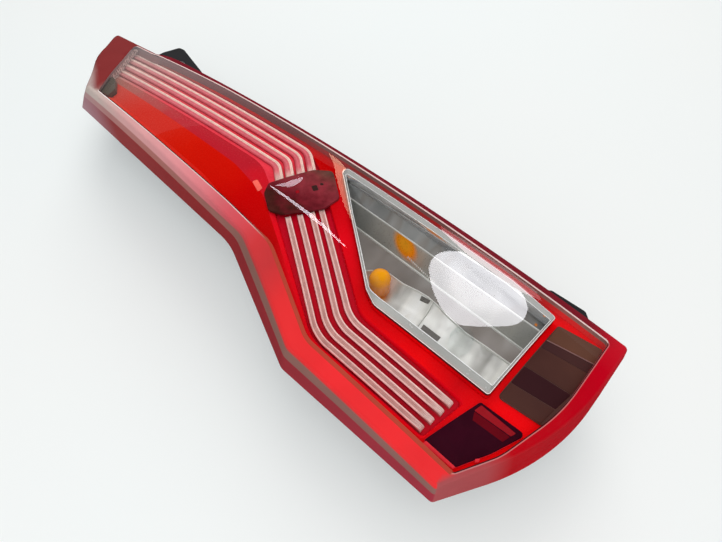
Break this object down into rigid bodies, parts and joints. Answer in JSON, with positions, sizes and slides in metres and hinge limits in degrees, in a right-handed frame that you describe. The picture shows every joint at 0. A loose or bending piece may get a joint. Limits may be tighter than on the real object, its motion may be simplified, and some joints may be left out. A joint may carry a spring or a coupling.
{
  "type": "car tail light cluster",
  "caption": "Tall left-hand car tail light cluster: red lens with a clear signal window over bent light guides and bright reflectors, on a black housing with fixing tabs and bulb holders.",
  "frame": {"origin": "midway between the two fixing holes, on the back face of the tabs that meets the car body", "axes": "+Z out of the lens, along the fixing bolts; +Y up the lamp as it sits on the car, along its longest side; +X towards the tailgate side, where the tabs are"},
  "size_m": [0.2344, 0.67, 0.138],
  "materials": {
    "lens_red": "clear red moulded plastic, polished",
    "lens_clear": "clear moulded plastic, polished",
    "sealant": "matt black sealant",
    "housing_black": "fine grained black plastic",
    "zinc_steel": "zinc plated",
    "stud_nylon": "natural nylon",
    "vent_rubber": "soft black rubber",
    "gasket_foam": "black closed-cell foam",
    "bezel_red": "bright red, polished",
    "guide_clear": "fluted clear guide, red by the lens above it",
    "guide_lower": "fluted clear guide, red by the lens above it",
    "tray_red": "dark red, polished",
    "board_green": "coated circuit board",
    "led_white": "small light sources",
    "bridge_smoke": "smoked, polished",
    "lead_black": "insulated leads",
    "connector_black": "black plastic",
    "frame_bright": "bright metallised",
    "reflector_bright": "bright metallised, facetted",
    "reflex_dark": "dark red, polished",
    "corner_smoke": "smoked, polished",
    "brake_bright": "bright metallised",
    "bulb_amber": "amber glass",
    "bulb_clear": "clear glass",
    "holder_grey": "grey plastic",
    "seal_rubber": "soft black rubber"
  },
  "bodies": {
    "root": {"body_gasket": "gasket_foam", "brake_bulb": "bulb_clear", "brake_reflector": "brake_bright", "brake_socket": "holder_grey", "brake_socket_seal": "seal_rubber", "bridge_cover": "bridge_smoke", "corner_cover": "corner_smoke", "guide_leds": "led_white", "guide_tray": "tray_red", "housing": "housing_black", "inner_bezel": "bezel_red", "led_board": "board_green", "led_board_screws": "zinc_steel", "led_connector": "connector_black", "led_leads": "lead_black", "lens_seal": "sealant", "locator_studs": "stud_nylon", "lower_light_guide_1": "guide_lower", "lower_light_guide_2": "guide_lower", "lower_light_guide_3": "guide_lower", "lower_light_guide_4": "guide_lower", "outer_lens_clear": "lens_clear", "outer_lens_red": "lens_red", "reflex_reflector": "reflex_dark", "reverse_bulb": "bulb_clear", "reverse_socket": "holder_grey", "reverse_socket_seal": "seal_rubber", "signal_reflector": "reflector_bright", "tab_bushings": "zinc_steel", "turn_bulb": "bulb_amber", "turn_socket": "holder_grey", "turn_socket_seal": "seal_rubber", "upper_light_guide_1": "guide_clear", "upper_light_guide_2": "guide_clear", "upper_light_guide_3": "guide_clear", "upper_light_guide_4": "guide_clear", "vent_cap": "vent_rubber", "window_bezel": "frame_bright"}
  },
  "joints": []
}
